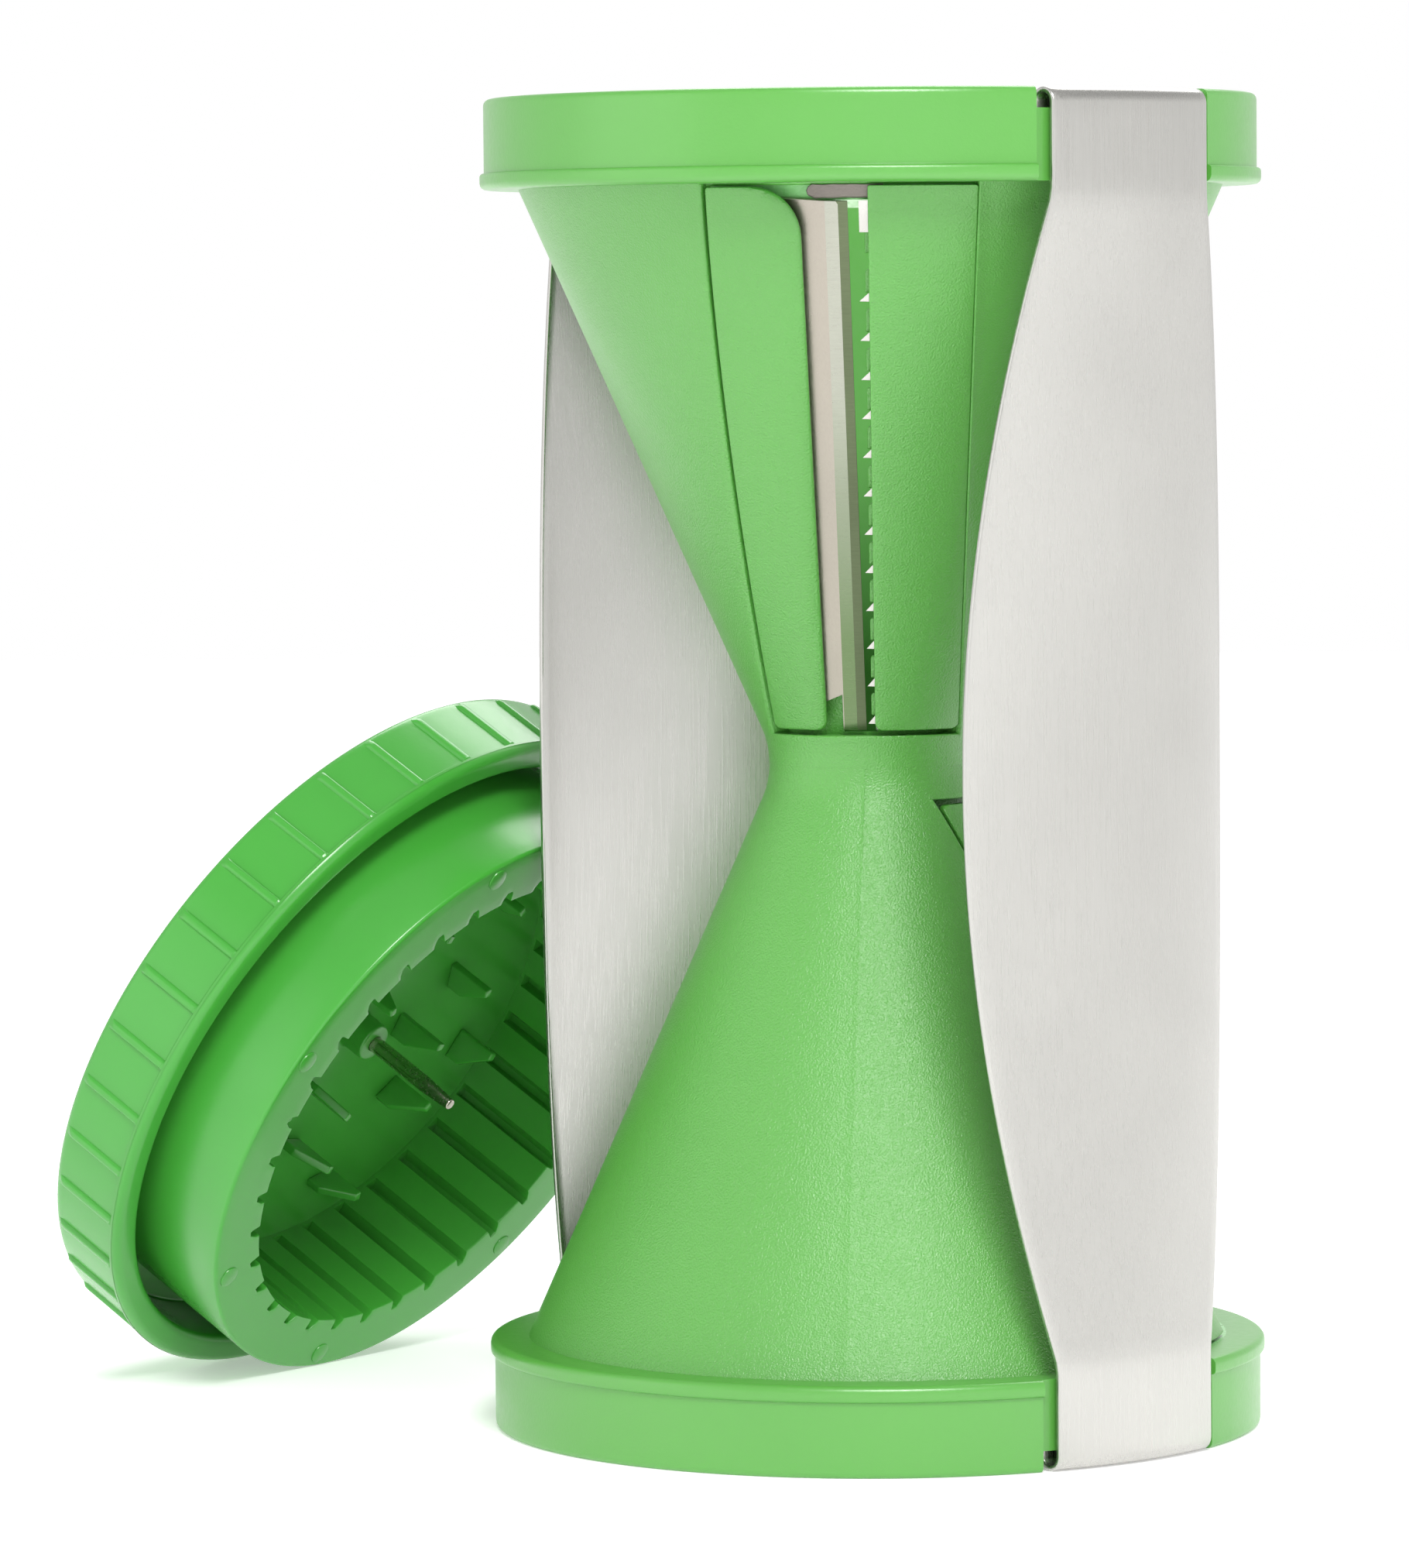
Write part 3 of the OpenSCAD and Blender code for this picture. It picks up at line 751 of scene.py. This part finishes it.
def blade(lower):
    outline = [(0, 0), (0, BLADE_LEN), (-BLADE_W_TOP, BLADE_LEN),
               (-BLADE_W_BOTTOM - (BLADE_W_TOP - BLADE_W_BOTTOM) * 2.7 / BLADE_LEN, 2.7),
               (-3.8, 2.7), (-2.1, 3.6), (-2.1, 0)]
    creases = [[(x, y) for y in spread(0.3, BLADE_LEN - 0.3, 60)] for x in (-GRIND_W, -EDGE_W)]
    shape = slab(outline, BLADE_T, 0.03, 1.0, creases, steps=2)

    def ground(p):
        if p.x <= -GRIND_W:
            drop = 0.0
        elif p.x <= -EDGE_W:
            drop = 0.12 * (p.x + GRIND_W) / (GRIND_W - EDGE_W)
        else:
            drop = 0.12 + 0.22 * (p.x + EDGE_W) / EDGE_W
        share = min(1, -p.z / BLADE_T)
        return Vector((p.x, p.y, BLADE_T - drop - share * (BLADE_T - drop)))

    for n, corners in enumerate(shape.faces):
        middle = sum((shape.points[k] for k in corners), Vector()) / len(corners)
        if middle.z > -BLADE_T * 0.9:
            shape.looks[n] = 2 if middle.x > -EDGE_W else 1 if middle.x > -GRIND_W else 0
    return shape.place(lambda p: on_cutting_edge(ground(p)))


both_halves("blade", blade, [blade_steel, ground_steel, edge_steel], sharp=4)


def comb(lower):
    pitch = FINE_PITCH if lower else COARSE_PITCH
    tab = BLADE_Z1 - 2.8
    edge = holder_left(BLADE_Z1)
    left = [(holder_left(BLADE_Z0) + 0.1, BLADE_Z0)]
    for i in range(int((COMB_LAST_Z - COMB_FIRST_Z) / pitch + 1e-9) + 1):
        z = COMB_FIRST_Z + i * pitch
        left += [(holder_left(z) + 0.1, z - 0.02), (tip_left(z), z), (tip_left(z) + 0.06, z + 0.08),
                 (holder_left(z) + 0.1, z + pitch * 0.24)]
    left += [(holder_left(tab) + 0.1, tab), (edge - 0.85, tab), (edge - 0.85, BLADE_Z1)]
    outline = left + [(edge + COMB_W, BLADE_Z1), (holder_left(BLADE_Z0) + COMB_W, BLADE_Z0)]
    shape = slab(outline, COMB_T, 0.02, 1.5, steps=2)
    return shape.place(lambda p: slot_point(p.x, p.y, COMB_D - p.z))


def end_clip(lower):
    middle, half = SLOT_TOP - 0.75, 0.64
    wobble = [0.0, -0.05, 0.03, -0.02, 0.05, -0.04, 0.02, 0.0]
    top = [(-3.6 + 6.5 * k / 7, middle + half + min(0, w)) for k, w in enumerate(wobble)]
    base = [(-3.4 + 6.3 * k / 7, middle - half + max(0, w)) for k, w in enumerate(wobble[::-1])]
    nose = [(-4.05, middle - 0.35), (-4.15, middle + 0.05), (-3.98, middle + 0.4)]
    outline = base[::-1] + nose + top
    shape = slab(outline[::-1], 0.72, 0.15, 0.5)
    return shape.place(lambda p: slot_point(p.x, p.y, COMB_D + 0.01 - p.z))


both_halves("comb", comb, [comb_steel], sharp=25)
both_halves("end_clip", end_clip, [rough_steel])


# Side plates: a closed strip carried along the sheet's path, hooks included
def plate_path():
    """(outer radius, outer height, inner radius, inner height, half width) down the whole plate."""
    centre = PLATE_END_R - HOOK_R
    top = [(centre - HOOK_R, z, centre - HOOK_R + PLATE_T, z) for z in spread(HOOK_LEG_Z, HOOK_Z, 3)[:-1]]
    for angle in spread(180, 0, 20):
        c, s = math.cos(math.radians(angle)), math.sin(math.radians(angle))
        inner_r = HOOK_R - PLATE_T
        top.append((centre + HOOK_R * c, HOOK_Z + HOOK_R * s, centre + inner_r * c, HOOK_Z + inner_r * s))
    crease = WAIST_Z + PLATE_HALF_H
    for z in spread(HOOK_Z, crease + 0.5, 5)[1:]:
        top.append((PLATE_END_R, z, PLATE_END_R - PLATE_T, z))
    for z in spread(crease - 0.5, WAIST_Z, 36):
        r = PLATE_MID_R + (PLATE_END_R - PLATE_MID_R) * ((z - WAIST_Z) / PLATE_HALF_H) ** 2
        top.append((r, z, r - PLATE_T, z))
    rows = []
    for r1, z1, r2, z2 in top + [(r1, TOTAL_H - z1, r2, TOTAL_H - z2) for r1, z1, r2, z2 in top[-2::-1]]:
        bow = min(1.0, ((z1 - WAIST_Z) / PLATE_HALF_H) ** 2)
        rows.append((r1, z1, r2, z2, (PLATE_MID_W - (PLATE_MID_W - PLATE_END_W) * bow) / 2))
    return rows


def side_plate(azimuth):
    edge = [(0.14, 0.0), (0.05, 0.06), (0.0, 0.22), (0.0, 0.78), (0.05, 0.94), (0.14, 1.0)]
    across = spread(-1, 1, 24)[1:-1]
    rows = []
    for r1, z1, r2, z2, half in plate_path():
        loop = [(t * (half - 0.14), 0.0) for t in across] + [(half - back, share) for back, share in edge]
        loop += [(-t * (half - 0.14), 1.0) for t in across]
        loop += [(back - half, share) for back, share in edge[::-1]]
        row = []
        for s, share in loop:
            r = r1 + (r2 - r1) * share
            row.append(polar(r, azimuth + math.degrees(math.asin(s / r)), z1 + (z2 - z1) * share))
        rows.append(row)
    shape = Shape()
    table = shape.add(rows)
    shape.skin(table, wrap_cols=True)
    count = len(across)
    turn = count + len(edge)
    for ring in (table[0], table[-1]):
        front = ring[turn + count + len(edge) // 2:] + ring[:count] + ring[count:count + len(edge) // 2]
        back = ring[count + len(edge) // 2:turn + count + len(edge) // 2][::-1]
        for k in range(len(front) - 1):
            shape.face([front[k], front[k + 1], back[k + 1], back[k]])
    return shape


for plate_name, plate_turn in (("right_side_plate", 0), ("left_side_plate", 180)):
    make_piece(plate_name + "_sheet", side_plate(PLATE_AZ + plate_turn), "slicer",
               [plate_steel], [plate_name], sharp=60)


# Cap: azimuths in its own frame run from -Y towards +X, so a CAD angle a is azimuth a + 90
def cap_shell():
    period = 360 / TEETH
    offsets = [-0.80, -0.62, -0.42, -0.2, 0.0, 0.2, 0.42, 0.62, 0.80, 2.7, 4.6, 6.5, 8.0 - 0.05]
    azimuths = [90 + RIB_TURN + k * period + o for k in range(TEETH) for o in offsets]
    rib_low, rib_high, rib_half = -RING_H + 0.9, BAND_TOP, math.degrees(0.45 / RING_R)
    body = rounded(
        [(0, -RING_H + 0.6), (30, -RING_H + 0.6), (30.6, -RING_H), (RING_R, -RING_H),
         (RING_R, BAND_TOP - 0.15), (CAP_R, BAND_TOP + 0.25), (CAP_R, 0), (RING_IN_R, 0),
         (RING_IN_R, CAP_BACK_T - RING_H), (PIN_R, CAP_BACK_T - RING_H), (PIN_R, -RING_H + PIN_FOOT),
         (0, -RING_H + PIN_FOOT)],
        [0, 0.4, 0.4, 0.8, 0.15, 0.3, 1.0, 0.9, 0.25, 0, 0, 0], 5, closed=False)
    # The upright outside, which carries the ribs, has finer rows
    profile = divided(body, lambda a, b: 0.4 if abs(a.x - b.x) < 0.02 and a.x > 35 else 3.0)

    def radius(i, azimuth, r):
        t = profile[i][1]
        if r < RING_R - 0.01 or t > rib_high + 0.05:
            return r
        off = abs((azimuth - 90 - RIB_TURN + period / 2) % period - period / 2) / rib_half
        end = min(1, max(0, (t - rib_low) / 0.45), max(0, (rib_high - t + RIB_END) / RIB_END))
        across = math.sqrt(max(0, 1 - min(1, off) ** 4))
        return r + RIB_PROUD * across * math.sqrt(end * (2 - end))

    return lathe(profile, azimuths, radius).place(cap_point)


def cap_socket():
    period = 360 / TEETH
    half = math.degrees(0.7 / TOOTH_R)
    # Each notch has one steep side and one slanted side
    notch = [(-half - 1.2, TOOTH_R), (-half - 0.05, TOOTH_R), (-half, TOOTH_R + 0.15),
             (-half + 0.08, ROOT_R - 0.25), (-half + 0.35, ROOT_R), (0.2, ROOT_R - 0.05),
             (half - 0.25, TOOTH_R + 0.45), (half, TOOTH_R + 0.02),
             (half + 0.9, TOOTH_R), (half + 3.0, TOOTH_R), (half + 5.0, TOOTH_R)]
    azimuths, radii = [], {}
    for k in range(TEETH):
        for offset, r in notch:
            azimuths.append(90 + NOTCH_TURN + k * period + offset)
            radii[azimuths[-1]] = r
    wall = rounded([(SOCKET_R, CAP_BACK_T - RING_H), (SOCKET_R, SOCKET_OUT), (TOOTH_R, SOCKET_OUT),
                    (TOOTH_R, SOCKET_FLOOR + 0.4)], [0, 0.35, 0.12, 0], 5, closed=False)
    profile = divided(wall, lambda a, b: 1.5)
    profile += [(TOOTH_R, SOCKET_FLOOR + 0.38), (TOOTH_R, CAP_BACK_T - RING_H)]
    solid_rows = len(profile) - 2

    def radius(i, azimuth, r):
        if i >= solid_rows or r > NOTCH_FADE_R:
            return r
        share = min(1, max(0, (NOTCH_FADE_R - r) / (NOTCH_FADE_R - TOOTH_R - 0.2)))
        return r + (radii[azimuth] - TOOTH_R) * share

    shape = lathe(profile, azimuths, radius, closed=True)
    # Round ejector marks on the end face
    for k in range(7):
        button = [(0, MARK_PROUD), (1.0, MARK_PROUD), (1.07, 0.09), (MARK_R, 0.0), (MARK_R, -0.4), (0, -0.4)]
        mark = lathe(button, spread(0, 360, 40)[:-1])
        centre = polar(MARK_RING_R, 90 - 106 - 51.4 * k, SOCKET_OUT)
        shape.join(mark.place(lambda p, c=centre: p + c))
    return shape.place(cap_point)


def cap_disc():
    floor = [(PIN_R, CAP_BACK_T - RING_H), (TOOTH_R, CAP_BACK_T - RING_H), (TOOTH_R, SOCKET_FLOOR),
             (BOSS_R, SOCKET_FLOOR), (BOSS_R, SOCKET_FLOOR + BOSS_H), (PIN_R, SOCKET_FLOOR + BOSS_H)]
    return lathe(rounded(floor, [0, 0, 0, 0.3, 0.3, 0.1], 4), spread(0, 360, 96)[:-1],
                 closed=True).place(cap_point)


def cap_spikes():
    shape = Shape()
    for ring_r, count, first, height, width in SPIKE_RINGS:
        for k in range(count):
            turn = math.radians(first + k * 360 / count)
            outline = [(-width / 2, 0), (width / 2, 0), (width / 2, height), (width / 2 - 0.8, height),
                       (-width / 2, height * 0.35)]
            fin = slab(rounded(outline, [0, 0, 0.2, 0.2, 0.3], 3), SPIKE_T, 0.16, 1.0)
            stand = Matrix.Rotation(math.pi / 2, 3, "X")
            aim = Matrix.Rotation(turn, 3, "Z")
            quarter = Matrix.Rotation(math.pi / 2, 3, "Z")
            shape.join(fin.place(lambda p: aim @ (quarter @ (stand @ (p + Vector((0, 0, SPIKE_T / 2))))
                                                   + Vector((ring_r, 0, SOCKET_FLOOR)))))
    return shape.place(cap_point)


def cap_pin():
    foot, taper = -RING_H + PIN_FOOT, SOCKET_OUT - PIN_TAPER
    profile = rounded([(0, foot), (PIN_R, foot), (PIN_R, taper), (0.56, SOCKET_OUT - 0.25),
                       (PIN_TIP_R, SOCKET_OUT), (0, SOCKET_OUT)],
                      [0, 0.1, 0.5, 0.1, 0.22, 0], 4, closed=False)
    return lathe(profile, spread(0, 360, 40)[:-1]).place(cap_point)


for cap_name, build in (("cap_shell", cap_shell), ("cap_socket", cap_socket), ("cap_disc", cap_disc),
                        ("cap_spikes", cap_spikes)):
    make_piece(cap_name + "_skin", build(), "cap", [cap_green], [cap_name])
make_piece("cap_pin_skin", cap_pin(), "cap", [pin_steel], ["cap_pin"])

# The locating pins are hidden under the panels, so their CAD shapes stay
for pins in ("upper_blade_pins", "lower_blade_pins", "upper_comb_pins", "lower_comb_pins"):
    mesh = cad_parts[pins].data
    mesh.materials.clear()
    mesh.materials.append(comb_steel)

# ---------------------------------------------------------------- camera, floor and light
YAW, PITCH, ROLL = -0.0228, 0.0646, 0.0080
CAMERA_Y, CAMERA_Z = -688.4, 104.0
LENS = 170.79
HORIZON_LIGHT = 1.0
SKY_LIGHT = 0.54
FLOOR_GLOW = 0.34
# Metres from the centre to each side. Further out the floor would be seen to darken.
FLOOR_HALF = 1.5


def add_camera():
    forward = Vector((math.cos(PITCH) * math.sin(YAW), math.cos(PITCH) * math.cos(YAW), -math.sin(PITCH)))
    level = Vector((math.cos(YAW), -math.sin(YAW), 0))
    over = level.cross(forward)
    right = math.cos(ROLL) * level - math.sin(ROLL) * over
    up = math.sin(ROLL) * level + math.cos(ROLL) * over
    data = bpy.data.cameras.new("camera")
    data.lens = LENS
    data.sensor_width = 36
    camera = bpy.data.objects.new("camera", data)
    bpy.context.scene.collection.objects.link(camera)
    camera.matrix_world = Matrix.Translation(Vector((0, CAMERA_Y, CAMERA_Z)) * MM) @ Matrix(
        (right, up, -forward)).transposed().to_4x4()
    bpy.context.scene.camera = camera


def add_light(name, place, target, size, energy):
    data = bpy.data.lights.new(name, "AREA")
    data.shape = "RECTANGLE"
    data.size, data.size_y = size
    data.energy = energy
    light = bpy.data.objects.new(name, data)
    bpy.context.scene.collection.objects.link(light)
    light.location = place
    light.rotation_euler = (Vector(target) - Vector(place)).to_track_quat("-Z", "Y").to_euler()


def add_floor():
    mesh = bpy.data.meshes.new("floor")
    corners = [(x * FLOOR_HALF, y * FLOOR_HALF, 0) for x, y in ((-1, -1), (1, -1), (1, 1), (-1, 1))]
    mesh.from_pydata(corners, [], [(0, 1, 2, 3)])
    floor = bpy.data.objects.new("floor", mesh)
    bpy.context.scene.collection.objects.link(floor)
    mat, nodes, links, shader = new_material("floor_paper")
    fibre = noise(nodes, links, object_coords(nodes, links), 900, 3)
    links.new(blend_colours(nodes, links, fibre, (0.93, 0.93, 0.93), (0.95, 0.95, 0.95)),
              shader.inputs["Base Color"])
    shader.inputs["Roughness"].default_value = 0.9
    shader.inputs["Specular IOR Level"].default_value = 0.2
    shader.inputs["Emission Color"].default_value = (1, 1, 1, 1)
    shader.inputs["Emission Strength"].default_value = FLOOR_GLOW
    mesh.materials.append(mat)


def add_world():
    """A white studio that is brightest round the horizon."""
    world = bpy.data.worlds.new("studio")
    world.use_nodes = True
    nodes, links = world.node_tree.nodes, world.node_tree.links
    coords = nodes.new("ShaderNodeTexCoord")
    split = nodes.new("ShaderNodeSeparateXYZ")
    links.new(coords.outputs["Generated"], split.inputs[0])
    level = remap(nodes, links, split.outputs["Z"], HORIZON_LIGHT, SKY_LIGHT, 0.12, 0.6)
    nodes["Background"].inputs["Color"].default_value = (1, 1, 1, 1)
    links.new(level, nodes["Background"].inputs["Strength"])
    bpy.context.scene.world = world


add_camera()
add_floor()
add_light("key", (0.10, -0.75, 0.78), (0, 0, 0.05), (0.35, 0.35), 8.0)
add_light("left_wall", (-1.1, -0.35, 0.45), (0, 0, 0.06), (0.9, 0.9), 1.8)
add_light("back", (0.15, 0.95, 1.05), (0, 0, 0.06), (0.8, 0.8), 8.0)
add_world()
bpy.context.scene.view_settings.view_transform = "Standard"
